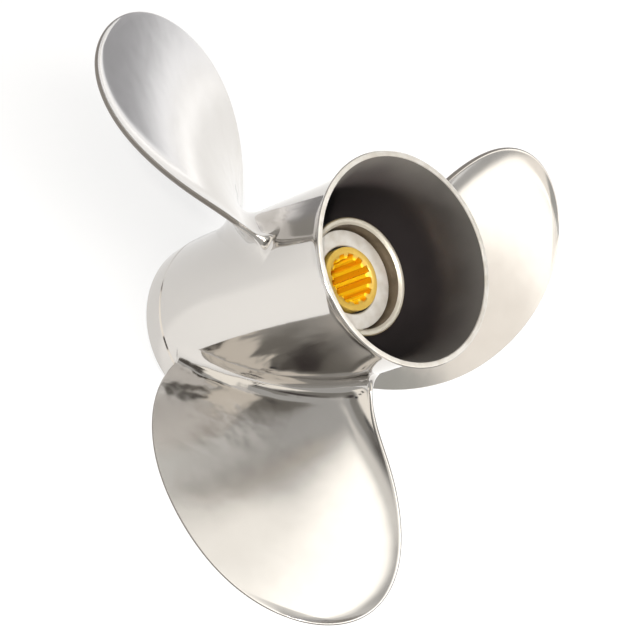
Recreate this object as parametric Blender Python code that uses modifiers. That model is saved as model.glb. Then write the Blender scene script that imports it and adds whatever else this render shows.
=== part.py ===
"""An outboard motor's stainless propeller with three blades and its exhaust through the hub.

The shaft axis is +Z. The front rim of the barrel stands on z = 0 and the flared aft rim is at the top.
"""

import math

import bmesh
import bpy
from mathutils import Vector

MM = 0.001
GAP = 0.3 * MM
CIRCLE = math.tau

# Barrel: the outer tube of the hub, with a tapered collar in front and a flared lip aft
HUB_LENGTH = 129.4 * MM
BARREL_RADIUS = 41.2 * MM
BARREL_BORE_RADIUS = 37.6 * MM
COLLAR_RADIUS = 40.1 * MM
COLLAR_LENGTH = 9.5 * MM
RIM_RADIUS = 45.3 * MM
RIM_BORE_RADIUS = 42.8 * MM
RIM_EDGE = 0.5 * MM
FLARE_LENGTH = 10 * MM
BORE_FLARE_LENGTH = 24 * MM
FLARE_POINTS = 6

# Inner hub: the tube that the bushing is pressed into
INNER_HUB_RADIUS = 25.4 * MM
INNER_HUB_FRONT = 8 * MM
INNER_HUB_AFT = 98.8 * MM
AFT_RECESS_RADIUS = 22.4 * MM
AFT_RECESS_DEPTH = 12 * MM
FRONT_RECESS_RADIUS = 23 * MM
FRONT_RECESS_DEPTH = 8 * MM
HUB_EDGE = 0.6 * MM

# Ribs between the barrel and the inner hub, one under each blade and deep inside the hub
RIB_THICKNESS = 4.5 * MM
RIB_FRONT = 14 * MM
RIB_AFT = 82 * MM
RIB_EDGE = 1 * MM
# A rib's end is flat and the bore is round, so its middle stands a little further off
RIB_END_GAP = 0.45 * MM

# Bushing: a steel shell, the rubber in it and the brass sleeve with the spline
SHELL_RADIUS = 21.4 * MM
SHELL_WALL = 1.6 * MM
SHELL_FRONT = 20 * MM
SHELL_AFT = 92.7 * MM
SHELL_END = 5 * MM
SHELL_HOLE_RADIUS = 14.5 * MM
SHELL_CHAMFER = 0.5 * MM
RUBBER_FRONT = 21 * MM
SLEEVE_RADIUS = 13.7 * MM
SLEEVE_FRONT = 12 * MM
SLEEVE_AFT = 94.5 * MM
SPLINE_TEETH = 13
SPLINE_ROOT_RADIUS = 10.9 * MM
SPLINE_TIP_RADIUS = 8.9 * MM
SPLINE_ROOT_SHARE = 0.5
SPLINE_TIP_SHARE = 0.34
SPLINE_MOUTH_DEPTH = 1.5 * MM
SPLINE_MOUTH_RADIUS = 11.5 * MM

# Blades: a screw surface whose pitch falls towards the tip, outlined along its helix
BLADES = 3
FIRST_BLADE_ANGLE = math.radians(90)
TIP_RADIUS = 144 * MM
ROOT_PITCH = 350 * MM
TIP_PITCH = 283 * MM
BLADE_HEIGHT = 67.8 * MM
RAKE = 0.17
ROOT_THICKNESS = 6.6 * MM
TIP_THICKNESS = 2.4 * MM
LEAD_EDGE = 1.3 * MM
TRAIL_EDGE = 2.3 * MM
TIP_EDGE = 1.2 * MM
# How fast the blade thins from root to tip, how full its section is, and its most thickness per chord
THINNING_POWER = 0.7
SECTION_POWER = 0.8
THICKEST_SHARE = 0.1
# The cup: the strip along the trailing edge that curls aft, and the chord under which it fades
CUP_WIDTH = 11 * MM
CUP_HEIGHT = 2.2 * MM
CUP_FADE_CHORD = 44 * MM
# How far the aft face bulges at mid chord, as a share of the chord
CROWN_SHARE = 0.015
SECTION_POINTS = 17
SECTIONS = 24
# The outline's middle, 0.5, is the tip, and the last section lies just short of it
LAST_SECTION = 0.492
ROOT_CLEARANCE = 0.5 * MM
ROOT_RADIUS = BARREL_RADIUS + ROOT_CLEARANCE
# The outline's control points: distance along the helix towards the trailing edge, and radius
OUTLINE_MM = (
    (-63, 49), (-76, 86), (-60, 123), (-20, 145), (25, 145),
    (43, 120), (36, 79), (28, 60), (28.5, 49),
)
# The root's fillet: how far its foot spreads over the barrel beside, behind and ahead of the blade
SIDE_SPREAD = 9 * MM
TRAIL_SPREAD = 5 * MM
LEAD_SPREAD = 1.5 * MM
FILLET_RINGS = 4
FOOT_THICKNESS = 0.4 * MM
EDGE_POINTS = 3

ROUND_STEPS = 72
SMALL_STEPS = 48

STEEL_POLISHED = ("polished_stainless", (0.70, 0.68, 0.66), 0.12, 1.0)
STEEL_MACHINED = ("machined_steel", (0.62, 0.61, 0.60), 0.38, 1.0)
BRASS = ("brass", (0.83, 0.56, 0.12), 0.25, 1.0)
RUBBER = ("black_rubber", (0.02, 0.02, 0.02), 0.7, 0.0)
BLACK_PAINT = ("black_paint", (0.025, 0.023, 0.023), 0.5, 0.0)


def clear_scene():
    for thing in list(bpy.data.objects):
        bpy.data.objects.remove(thing)


def new_collection(name):
    group = bpy.data.collections.new(name)
    bpy.context.scene.collection.children.link(group)
    return group


def make_material(recipe):
    """A plain surface from a recipe of name, colour, roughness and metallic value."""
    name, colour, roughness, metallic = recipe
    material = bpy.data.materials.get(name)
    if material:
        return material
    material = bpy.data.materials.new(name)
    material.use_nodes = True
    shader = material.node_tree.nodes["Principled BSDF"]
    shader.inputs["Base Color"].default_value = (*colour, 1)
    shader.inputs["Roughness"].default_value = roughness
    shader.inputs["Metallic"].default_value = metallic
    return material


def new_object(name, mesh, group, recipe):
    piece = bpy.data.objects.new(name, mesh)
    group.objects.link(piece)
    mesh.materials.append(make_material(recipe))
    return piece


def shade_round(mesh, angle=30):
    mesh.shade_smooth()
    mesh.set_sharp_from_angle(angle=math.radians(angle))


def turned(name, profile, group, recipe, steps=ROUND_STEPS):
    """A ring turned about Z from a closed profile of (radius, height), its outer side running down."""
    bm = bmesh.new()
    corners = [bm.verts.new((radius, 0, height)) for radius, height in profile]
    for here, there in zip(corners, corners[1:] + corners[:1]):
        bm.edges.new((here, there))
    mesh = bpy.data.meshes.new(name)
    bm.to_mesh(mesh)
    bm.free()
    piece = new_object(name, mesh, group, recipe)
    screw = piece.modifiers.new("turn", "SCREW")
    screw.steps = steps
    screw.render_steps = steps
    screw.use_merge_vertices = True
    screw.merge_threshold = 0.00001
    return piece


def flare(start, end, points):
    """Points of a profile that leaves a tube's straight wall in a smooth bell, from start to end."""
    (start_radius, start_height), (end_radius, end_height) = start, end
    shape = []
    for index in range(points):
        share = index / (points - 1)
        height = start_height + (end_height - start_height) * share
        shape.append((start_radius + (end_radius - start_radius) * share ** 2, height))
    return shape


def barrel_profile():
    """The outer side from the aft rim down to the front, then the bore from the front up to the rim."""
    rim_top = HUB_LENGTH - RIM_EDGE
    outer_bell = flare((BARREL_RADIUS, HUB_LENGTH - FLARE_LENGTH), (RIM_RADIUS, rim_top), FLARE_POINTS)
    inner_bell = flare(
        (BARREL_BORE_RADIUS, HUB_LENGTH - BORE_FLARE_LENGTH), (RIM_BORE_RADIUS, HUB_LENGTH), FLARE_POINTS
    )
    return [
        (RIM_RADIUS - RIM_EDGE, HUB_LENGTH),
        *reversed(outer_bell),
        (BARREL_RADIUS, COLLAR_LENGTH),
        (COLLAR_RADIUS, RIM_EDGE),
        (COLLAR_RADIUS - RIM_EDGE, 0),
        (BARREL_BORE_RADIUS + RIM_EDGE, 0),
        (BARREL_BORE_RADIUS, RIM_EDGE),
        *inner_bell,
    ]


def inner_hub_profile():
    bore = SHELL_RADIUS + GAP
    return [
        (INNER_HUB_RADIUS - HUB_EDGE, INNER_HUB_AFT),
        (INNER_HUB_RADIUS, INNER_HUB_AFT - HUB_EDGE),
        (INNER_HUB_RADIUS, INNER_HUB_FRONT + HUB_EDGE),
        (INNER_HUB_RADIUS - HUB_EDGE, INNER_HUB_FRONT),
        (FRONT_RECESS_RADIUS, INNER_HUB_FRONT),
        (FRONT_RECESS_RADIUS, INNER_HUB_FRONT + FRONT_RECESS_DEPTH),
        (bore, INNER_HUB_FRONT + FRONT_RECESS_DEPTH),
        (bore, INNER_HUB_AFT - AFT_RECESS_DEPTH),
        (AFT_RECESS_RADIUS, INNER_HUB_AFT - AFT_RECESS_DEPTH),
        (AFT_RECESS_RADIUS, INNER_HUB_AFT),
    ]


def bushing_shell_profile():
    """A cup, open at its front, whose aft end is the turned face with the chamfered hole."""
    return [
        (SHELL_RADIUS, SHELL_AFT),
        (SHELL_RADIUS, SHELL_FRONT),
        (SHELL_RADIUS - SHELL_WALL, SHELL_FRONT),
        (SHELL_RADIUS - SHELL_WALL, SHELL_AFT - SHELL_END),
        (SHELL_HOLE_RADIUS, SHELL_AFT - SHELL_END),
        (SHELL_HOLE_RADIUS, SHELL_AFT - SHELL_CHAMFER),
        (SHELL_HOLE_RADIUS + SHELL_CHAMFER, SHELL_AFT),
    ]


def rubber_profile():
    outer = SHELL_RADIUS - SHELL_WALL - GAP
    inner = SLEEVE_RADIUS + GAP
    top = SHELL_AFT - SHELL_END - GAP
    return [(outer, top), (outer, RUBBER_FRONT), (inner, RUBBER_FRONT), (inner, top)]


def spline_outline():
    """The bore's outline: flat-topped teeth that point inwards, anticlockwise."""
    outline = []
    step = CIRCLE / SPLINE_TEETH
    root_half = step * SPLINE_ROOT_SHARE / 2
    tip_half = step * SPLINE_TIP_SHARE / 2
    for tooth in range(SPLINE_TEETH):
        middle = tooth * step
        for radius, angle in (
            (SPLINE_TIP_RADIUS, middle - tip_half),
            (SPLINE_TIP_RADIUS, middle + tip_half),
            (SPLINE_ROOT_RADIUS, middle + root_half),
            (SPLINE_ROOT_RADIUS, middle + step - root_half),
        ):
            outline.append((radius * math.cos(angle), radius * math.sin(angle)))
    return outline


def spline_cutter(cutters):
    """A prism with the spline's outline, longer than the sleeve."""
    overshoot = 5 * MM
    bm = bmesh.new()
    low = SLEEVE_FRONT - overshoot
    bottom = [bm.verts.new((x, y, low)) for x, y in spline_outline()]
    face = bm.faces.new(bottom)
    rise = SLEEVE_AFT - SLEEVE_FRONT + 2 * overshoot
    grown = bmesh.ops.extrude_face_region(bm, geom=[face])
    tops = [part for part in grown["geom"] if isinstance(part, bmesh.types.BMVert)]
    bmesh.ops.translate(bm, verts=tops, vec=Vector((0, 0, rise)))
    bmesh.ops.recalc_face_normals(bm, faces=bm.faces)
    mesh = bpy.data.meshes.new("spline_cutter")
    bm.to_mesh(mesh)
    bm.free()
    return cutter_object("spline_cutter", mesh, cutters)


def mouth_cutter(name, end, inwards, cutters):
    """A cone that opens the spline at one end of the sleeve."""
    depth = 2 * SPLINE_MOUTH_DEPTH
    slope = (SPLINE_MOUTH_RADIUS - SPLINE_TIP_RADIUS) / SPLINE_MOUTH_DEPTH
    bm = bmesh.new()
    bmesh.ops.create_cone(
        bm, cap_ends=True, segments=SMALL_STEPS,
        radius1=SPLINE_TIP_RADIUS if inwards < 0 else SPLINE_TIP_RADIUS + slope * depth,
        radius2=SPLINE_TIP_RADIUS + slope * depth if inwards < 0 else SPLINE_TIP_RADIUS,
        depth=depth,
    )
    bmesh.ops.translate(bm, verts=bm.verts, vec=Vector((0, 0, end)))
    mesh = bpy.data.meshes.new(name)
    bm.to_mesh(mesh)
    bm.free()
    return cutter_object(name, mesh, cutters)


def cutter_object(name, mesh, cutters):
    cutter = bpy.data.objects.new(name, mesh)
    cutters.objects.link(cutter)
    cutter.hide_render = True
    cutter.display_type = "WIRE"
    return cutter


def splined_sleeve(group, cutters):
    bm = bmesh.new()
    bmesh.ops.create_cone(
        bm, cap_ends=True, segments=SMALL_STEPS, radius1=SLEEVE_RADIUS, radius2=SLEEVE_RADIUS,
        depth=SLEEVE_AFT - SLEEVE_FRONT,
    )
    bmesh.ops.translate(bm, verts=bm.verts, vec=Vector((0, 0, (SLEEVE_AFT + SLEEVE_FRONT) / 2)))
    mesh = bpy.data.meshes.new("splined_sleeve")
    bm.to_mesh(mesh)
    bm.free()
    shade_round(mesh)
    sleeve = new_object("splined_sleeve", mesh, group, BRASS)
    tools = [
        spline_cutter(cutters),
        mouth_cutter("aft_mouth_cutter", SLEEVE_AFT, -1, cutters),
        mouth_cutter("front_mouth_cutter", SLEEVE_FRONT, 1, cutters),
    ]
    for cutter in tools:
        cut = sleeve.modifiers.new(cutter.name, "BOOLEAN")
        cut.operation = "DIFFERENCE"
        cut.object = cutter
    return sleeve


def rib(number, group):
    """A flat web on a radius, bevelled along its front and aft edges."""
    inner = INNER_HUB_RADIUS + GAP
    outer = BARREL_BORE_RADIUS - RIB_END_GAP
    bm = bmesh.new()
    bmesh.ops.create_cube(bm, size=1)
    bmesh.ops.scale(bm, verts=bm.verts, vec=Vector((outer - inner, RIB_THICKNESS, RIB_AFT - RIB_FRONT)))
    centre = Vector(((outer + inner) / 2, 0, (RIB_AFT + RIB_FRONT) / 2))
    bmesh.ops.translate(bm, verts=bm.verts, vec=centre)
    ends = [edge for edge in bm.edges if abs(edge.verts[0].co.x - edge.verts[1].co.x) > GAP]
    bmesh.ops.bevel(bm, geom=ends, offset=RIB_EDGE, segments=2, profile=0.5, affect="EDGES")
    name = f"rib_{number + 1}"
    mesh = bpy.data.meshes.new(name)
    bm.to_mesh(mesh)
    bm.free()
    piece = new_object(name, mesh, group, BLACK_PAINT)
    piece.rotation_euler.z = FIRST_BLADE_ANGLE + number * CIRCLE / BLADES
    return piece


def spline_basis(order, index, place, knots):
    """One B-spline basis function, by the usual recursion."""
    if order == 0:
        return 1.0 if knots[index] <= place < knots[index + 1] else 0.0
    total = 0.0
    left = knots[index + order] - knots[index]
    if left > 0:
        total += (place - knots[index]) / left * spline_basis(order - 1, index, place, knots)
    right = knots[index + order + 1] - knots[index + 1]
    if right > 0:
        total += (knots[index + order + 1] - place) / right * spline_basis(order - 1, index + 1, place, knots)
    return total


def outline_point(place):
    """The blade's outline as a cubic curve, from the leading root (0) round the tip to the trailing root (1)."""
    count = len(OUTLINE_MM)
    inner = [step / (count - 3) for step in range(1, count - 3)]
    knots = [0.0] * 4 + inner + [1.0] * 4
    place = min(place, 1 - 1e-9)
    along = radius = 0.0
    for index, (control_along, control_radius) in enumerate(OUTLINE_MM):
        weight = spline_basis(3, index, place, knots)
        along += weight * control_along * MM
        radius += weight * control_radius * MM
    return along, radius


def unrolled(along, radius, lift):
    """The turn and the height of a point at a distance along the helix, a radius and a lift off the face aft."""
    outward = (radius - BARREL_RADIUS) / (TIP_RADIUS - BARREL_RADIUS)
    lead = (ROOT_PITCH + (TIP_PITCH - ROOT_PITCH) * outward) / CIRCLE
    slant = math.atan2(lead, radius)
    turn = (along * math.cos(slant) - lift * math.sin(slant)) / radius
    height = BLADE_HEIGHT + along * math.sin(slant) + lift * math.cos(slant) + RAKE * (radius - BARREL_RADIUS)
    return turn, height


def rolled_up(turn, height, radius):
    return Vector((radius * math.cos(turn), radius * math.sin(turn), height))


def aft_lift(share, chord):
    """The aft face's lift at a share of the chord: a slight crown, and the cup that curls up at the end.

    Both edges keep a lift of 0, so neither moves the outline.
    """
    height = CUP_HEIGHT * min(1.0, chord / CUP_FADE_CHORD)
    curl = max(0.0, 1 - chord * (1 - share) / CUP_WIDTH) ** 2
    return height * (curl - share) + CROWN_SHARE * chord * 4 * share * (1 - share)


def edge_thickness(place, share):
    """The section's least thickness, between its leading edge (share 0) and its trailing edge (share 1)."""
    outward = place / 0.5
    lead = LEAD_EDGE + (TIP_EDGE - LEAD_EDGE) * outward
    trail = TRAIL_EDGE + (TIP_EDGE - TRAIL_EDGE) * outward ** 3
    return lead + (trail - lead) * share


def edge_points(along, radius, lift, half, way):
    """The round of an edge, from the aft face to the front face. The way is 1 at the trailing edge, or -1."""
    points = []
    for step in range(1, EDGE_POINTS + 1):
        angle = math.pi * step / (EDGE_POINTS + 1)
        points.append((along + way * half * math.sin(angle), radius, lift - half + half * math.cos(angle)))
    return points


def blade_section(place):
    """A ring across the blade between two points of its outline, as (along, radius, lift).

    It runs over the aft face, round the trailing edge, back over the front face and round the leading edge.
    """
    lead_half = edge_thickness(place, 0) / 2
    trail_half = edge_thickness(place, 1) / 2
    lead_along, lead_radius = outline_point(place)
    trail_along, trail_radius = outline_point(1 - place)
    lead_along += lead_half
    trail_along -= trail_half
    chord = math.hypot(trail_along - lead_along, trail_radius - lead_radius)
    aft_side = []
    front_side = []
    for index in range(SECTION_POINTS):
        even = index / (SECTION_POINTS - 1)
        share = (even + (1 - math.cos(math.pi * even)) / 2) / 2
        along = lead_along + (trail_along - lead_along) * share
        radius = lead_radius + (trail_radius - lead_radius) * share
        outward = (radius - ROOT_RADIUS) / (TIP_RADIUS - ROOT_RADIUS)
        least = edge_thickness(place, share)
        full = ROOT_THICKNESS + (TIP_THICKNESS - ROOT_THICKNESS) * outward ** THINNING_POWER
        full = max(least, min(full, least + chord * THICKEST_SHARE))
        thickness = least + (full - least) * math.sin(math.pi * share) ** SECTION_POWER
        lift = aft_lift(share, chord)
        aft_side.append((along, radius, lift))
        front_side.append((along, radius, lift - thickness))
    trail_edge = edge_points(*aft_side[-1], trail_half, 1)
    lead_edge = edge_points(*aft_side[0], lead_half, -1)
    return aft_side + trail_edge + front_side[::-1] + lead_edge[::-1]


def blade_ring(place):
    return [rolled_up(*unrolled(*point), point[1]) for point in blade_section(place)]


def foot_spreads():
    """How far each point of the root's ring spreads over the barrel: (along the helix, off the face)."""
    sides = SECTION_POINTS
    turns = [math.pi * step / (EDGE_POINTS + 1) for step in range(1, EDGE_POINTS + 1)]
    aft = [(0.0, SIDE_SPREAD)] * sides
    trail = [(TRAIL_SPREAD * math.sin(turn), SIDE_SPREAD * math.cos(turn)) for turn in turns]
    front = [(0.0, -SIDE_SPREAD)] * sides
    lead = [(-LEAD_SPREAD * math.sin(turn), SIDE_SPREAD * math.cos(turn)) for turn in reversed(turns)]
    return aft + trail + front + lead


def fillet_point(point, spread, rise):
    """A point between the foot (rise 0) and the blade (rise 1), on a curve tangent to the barrel and the blade."""
    along, radius, lift = point
    low = ROOT_RADIUS + FOOT_THICKNESS
    foot = (*unrolled(along + spread[0], ROOT_RADIUS, lift + spread[1]), low)
    corner = (*unrolled(along, ROOT_RADIUS, lift), low)
    top = (*unrolled(along, radius, lift), radius)
    weights = ((1 - rise) ** 2, 2 * rise * (1 - rise), rise ** 2)
    return [sum(weight * place[axis] for weight, place in zip(weights, (foot, corner, top))) for axis in range(3)]


def fillet_rings():
    """Rings from the foot on the barrel up to the blade, as (turn, height, radius), the sole first."""
    root = blade_section(0)
    spreads = foot_spreads()
    rings = []
    for step in range(FILLET_RINGS):
        rise = step / FILLET_RINGS
        rings.append([fillet_point(point, spread, rise) for point, spread in zip(root, spreads)])
    sole = [(turn, height, ROOT_RADIUS) for turn, height, _ in rings[0]]
    return [sole] + rings


def close_sole(bm, ring, sole):
    """Strips across the sole of the foot, which follow the barrel's curve."""
    strips = EDGE_POINTS + 1
    last = SECTION_POINTS - 1
    rows = []
    for column in range(SECTION_POINTS):
        opposite = 2 * last + 1 + EDGE_POINTS - column
        (turn, height, out), (far_turn, far_height, _) = sole[column], sole[opposite]
        row = [ring[column]]
        for strip in range(1, strips):
            share = strip / strips
            place = rolled_up(turn + (far_turn - turn) * share, height + (far_height - height) * share, out)
            row.append(bm.verts.new(place))
        rows.append(row + [ring[opposite]])
    trail_row = [ring[last + step] for step in range(strips + 1)]
    lead_row = [ring[-step] for step in range(strips + 1)]
    rows = [lead_row] + rows + [trail_row]
    for row, following in zip(rows, rows[1:]):
        for strip in range(strips):
            corners = (row[strip], row[strip + 1], following[strip + 1], following[strip])
            bm.faces.new(dict.fromkeys(corners))


def close_tip(bm, tip):
    """A narrow strip over the last ring, between its aft and front sides."""
    for here in range(SECTION_POINTS - 1):
        opposite = 2 * SECTION_POINTS - 1 + EDGE_POINTS - here
        bm.faces.new((tip[here], tip[here + 1], tip[opposite - 1], tip[opposite]))
    trail = SECTION_POINTS - 1
    bm.faces.new(tip[trail:trail + EDGE_POINTS + 2])
    bm.faces.new([tip[0]] + tip[-1:-EDGE_POINTS - 2:-1])


def blade_mesh():
    """A loft through sections that change in chord, thickness and slant from the fillet's foot to the tip."""
    bm = bmesh.new()
    foot = fillet_rings()
    rings = [[bm.verts.new(rolled_up(*point)) for point in ring] for ring in foot]
    for index in range(SECTIONS):
        share = math.sin(math.pi / 2 * index / (SECTIONS - 1))
        rings.append([bm.verts.new(point) for point in blade_ring(LAST_SECTION * share)])
    for ring, following in zip(rings, rings[1:]):
        count = len(ring)
        for here in range(count):
            there = (here + 1) % count
            bm.faces.new((ring[here], ring[there], following[there], following[here]))
    close_tip(bm, rings[-1])
    close_sole(bm, rings[0], foot[0])
    bmesh.ops.recalc_face_normals(bm, faces=bm.faces)
    mesh = bpy.data.meshes.new("blade")
    bm.to_mesh(mesh)
    bm.free()
    shade_round(mesh, 50)
    return mesh


def blades(group):
    mesh = blade_mesh()
    for number in range(BLADES):
        piece = new_object(f"blade_{number + 1}", mesh.copy(), group, STEEL_POLISHED)
        piece.rotation_euler.z = FIRST_BLADE_ANGLE + number * CIRCLE / BLADES


def build():
    clear_scene()
    group = new_collection("outboard_propeller")
    cutters = new_collection("cutters")
    turned("barrel", barrel_profile(), group, STEEL_POLISHED)
    turned("inner_hub", inner_hub_profile(), group, STEEL_MACHINED, SMALL_STEPS)
    turned("bushing_shell", bushing_shell_profile(), group, STEEL_MACHINED, SMALL_STEPS)
    turned("rubber_bushing", rubber_profile(), group, RUBBER, SMALL_STEPS)
    splined_sleeve(group, cutters)
    for number in range(BLADES):
        rib(number, group)
    blades(group)


build()
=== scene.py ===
"""The looks of an outboard motor's stainless propeller: its cast and polished blades and hub, its
black exhaust bore, and the bushing with the splined brass sleeve. The shaft axis is +Z and the aft
rim is on top.
"""

import math

import bmesh
import bpy
from mathutils import Matrix, Vector


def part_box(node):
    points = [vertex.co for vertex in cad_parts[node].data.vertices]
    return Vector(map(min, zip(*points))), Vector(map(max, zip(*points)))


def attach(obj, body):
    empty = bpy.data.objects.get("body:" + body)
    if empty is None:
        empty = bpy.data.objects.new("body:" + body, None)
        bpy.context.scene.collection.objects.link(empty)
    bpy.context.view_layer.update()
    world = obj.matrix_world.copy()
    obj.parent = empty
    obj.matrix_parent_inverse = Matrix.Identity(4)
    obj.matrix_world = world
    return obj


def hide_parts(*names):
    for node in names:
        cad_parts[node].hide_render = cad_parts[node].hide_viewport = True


MM = 0.001
CIRCLE = math.tau

# Blades: a screw surface whose pitch falls towards the tip
BLADES = 3
FIRST_BLADE_ANGLE = math.radians(90)
# The outline's control points: distance along the helix towards the trailing edge, and radius
OUTLINE_MM = (
    (-63, 49), (-76, 86), (-60, 123), (-20, 145), (25, 145),
    (43, 120), (36, 79), (28, 60), (28.5, 49),
)
OUTLINE_RESOLUTION = 64
BLADE_SIZES = {
    "Barrel Radius": 41.2 * MM,
    "Tip Radius": 144 * MM,
    "Root Pitch": 350 * MM,
    "Tip Pitch": 283 * MM,
    "Blade Height": 67.8 * MM,
    "Rake": 0.17,
    "Root Thickness": 6.6 * MM,
    "Tip Thickness": 2.2 * MM,
    "Lead Edge": 1.3 * MM,
    "Trail Edge": 2.3 * MM,
    "Tip Edge": 1.2 * MM,
    "Thinning": 0.7,
    "Fullness": 1.3,
    "Thickest Share": 0.1,
    "Cup Width": 11 * MM,
    "Cup Height": 2.2 * MM,
    "Cup Fade Chord": 44 * MM,
    "Crown": 0.015,
    "Side Spread": 9 * MM,
    "Trail Spread": 5 * MM,
    "Lead Spread": 1.5 * MM,
    "Sink": 0.04 * MM,
    "Keel Depth": 1.2 * MM,
    "First Angle": FIRST_BLADE_ANGLE,
}
# Power of the rounding over an edge: 1 is round, and less is squarer
EDGE_ROUNDING = 0.5
# Power of the trailing edge's thinning: above 1 it starts late
LATE_THINNING = 3
# Share of the blade's height over which the painted dark shade and the roughness of its edges fade
# in
EDGE_SHADE_FADE = 1 / 9
# Mesh of a blade: columns over each side and round each edge, rows up the fillet and up the blade
ACROSS = 56
ROUND = 14
FILLET_ROWS = 18
BLADE_ROWS = 110
# How far the columns crowd towards the edges, and where on the outline the rows end at the tip
CROWDING = 0.6
TIP_SHARE = 0.5
WELD = 0.002 * MM

# Hub barrel, and the heights of the groove behind its collar
HUB_STEPS = 288
HUB_SHARP = math.radians(35)
BARREL_BORE_RADIUS = 37.6 * MM
COLLAR_RADIUS = 40.1 * MM
GROOVE_TOP = 13.3 * MM
GROOVE_FLOOR = 12.85 * MM
GROOVE_FOOT = 11.65 * MM
GROOVE_DEPTH = 0.85 * MM
FOOT_DEPTH = 0.05 * MM
RIM_BORE_RADIUS = 42.8 * MM
RIM_BORE_CHAMFER = 0.2 * MM
RIM_EDGE = 0.5 * MM
RIM_MACHINED = 0.3 * MM
FLARE_LENGTH = 10 * MM
BORE_FLARE_LENGTH = 24 * MM
# The paint's thickness, and how far its back stands off the steel
COAT = 0.12 * MM
COAT_BACK = COAT / 4

# Inner hub, bushing and sleeve, aft ends first seen from the camera
INNER_HUB_RADIUS = 25.4 * MM
INNER_HUB_FRONT = 8 * MM
INNER_HUB_AFT = 98.8 * MM
INNER_HUB_CHAMFER = 1.1 * MM
AFT_RECESS_RADIUS = 22.4 * MM
AFT_RECESS_DEPTH = 12 * MM
FRONT_RECESS_RADIUS = 23 * MM
FRONT_RECESS_DEPTH = 8 * MM
SHELL_RADIUS = 21.4 * MM
SHELL_WALL = 1.6 * MM
SHELL_FRONT = 20 * MM
SHELL_AFT = 92.7 * MM
SHELL_END = 5 * MM
SHELL_HOLE_RADIUS = 14.5 * MM
SHELL_CHAMFER = 0.5 * MM
RUBBER_FRONT = 21 * MM
SLEEVE_RADIUS = 13.7 * MM
SLEEVE_FRONT = 12 * MM
SLEEVE_AFT = 94.5 * MM
GAP = 0.3 * MM
# A face whose centre is this near to a radius lies on it
NEAR = 0.05 * MM

SPLINE_SIZES = {
    "Teeth": 13,
    "Root Radius": 10.9 * MM,
    "Tip Radius": 9.0 * MM,
    "Tip Share": 1 / 3,
    "Root Share": 0.5,
    "First Tooth": math.radians(4.615),
}
STEPS_PER_TOOTH = 24
TOOTH_SHARP = math.radians(30)
MOUTH_RADIUS = 11.4 * MM
MOUTH_DEPTH = 1.2 * MM
MOUTH_ROWS = 12

# Ribs between the barrel and the inner hub, and how far they sink into both
RIB_THICKNESS = 4.5 * MM
RIB_FRONT = 14 * MM
RIB_AFT = 82 * MM
RIB_FILLET = 3 * MM
RIB_FILLET_STEPS = 6
RIB_SHARP = math.radians(40)
RIB_INNER_SINK = 0.3 * MM
RIB_OUTER_SINK = 0.1 * MM

# Tones of the finishes
STEEL_TONE = (0.67, 0.65, 0.625)
# Darker steel: painted shade all over the hub, and the dark end of the random mottle on the blades
STEEL_MOTTLE_AND_HUB_PAINTED_SHADE = (0.61, 0.587, 0.56)
# Nearly black steel painted on the blades' edge rounds as a painted shade outline
STEEL_EDGE_PAINTED_SHADE = (0.26, 0.24, 0.22)
TURNED_DARK = (0.60, 0.56, 0.50)
TURNED_LIGHT = (0.71, 0.69, 0.655)
RING_DARK = (0.45, 0.42, 0.35)
RING_LIGHT = (0.53, 0.50, 0.44)
RING_OXIDE = (0.26, 0.21, 0.13)
BRASS_DARK = (0.44, 0.285, 0.045)
BRASS_LIGHT = (0.50, 0.335, 0.072)
# Painted light in the sleeve's bore: bright tooth tips, and valleys in painted shade
TOOTH_PAINTED_LIGHT = (1.0, 0.66, 0.012)
VALLEY_PAINTED_SHADE = (0.76, 0.33, 0.003)
PAINT_DARK = (0.024, 0.020, 0.021)
PAINT_LIGHT = (0.032, 0.027, 0.027)
# Grey painted sheen on the paint near the aft rim
PAINT_PAINTED_SHEEN = (0.115, 0.108, 0.099)
RUBBER_DARK = (0.014, 0.014, 0.014)
RUBBER_DUST = (0.034, 0.032, 0.029)
# The recess wall's brown casting, darkened partly as painted shade of the recess
CASTING_DARK = (0.072, 0.052, 0.031)
CASTING_LIGHT = (0.125, 0.095, 0.060)
TABLE_TONE = (0.26, 0.26, 0.26)
TABLE_GLOW = 0.70

# Camera, from the photograph
CAMERA_TARGET = Vector((11.70, 1.73, 64.7)) * MM
CAMERA_DISTANCE = 874.8 * MM
CAMERA_AZIMUTH = math.radians(0.928)
CAMERA_ELEVATION = math.radians(49.176)
CAMERA_ROLL = math.radians(70.402)
CAMERA_LENS = 115.24
CAMERA_SENSOR = 36
CAMERA_RANGE = (0.01, 20)

# Floor, just below the part
FLOOR_HALF = 4
FLOOR_DROP = 0.2 * MM

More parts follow.
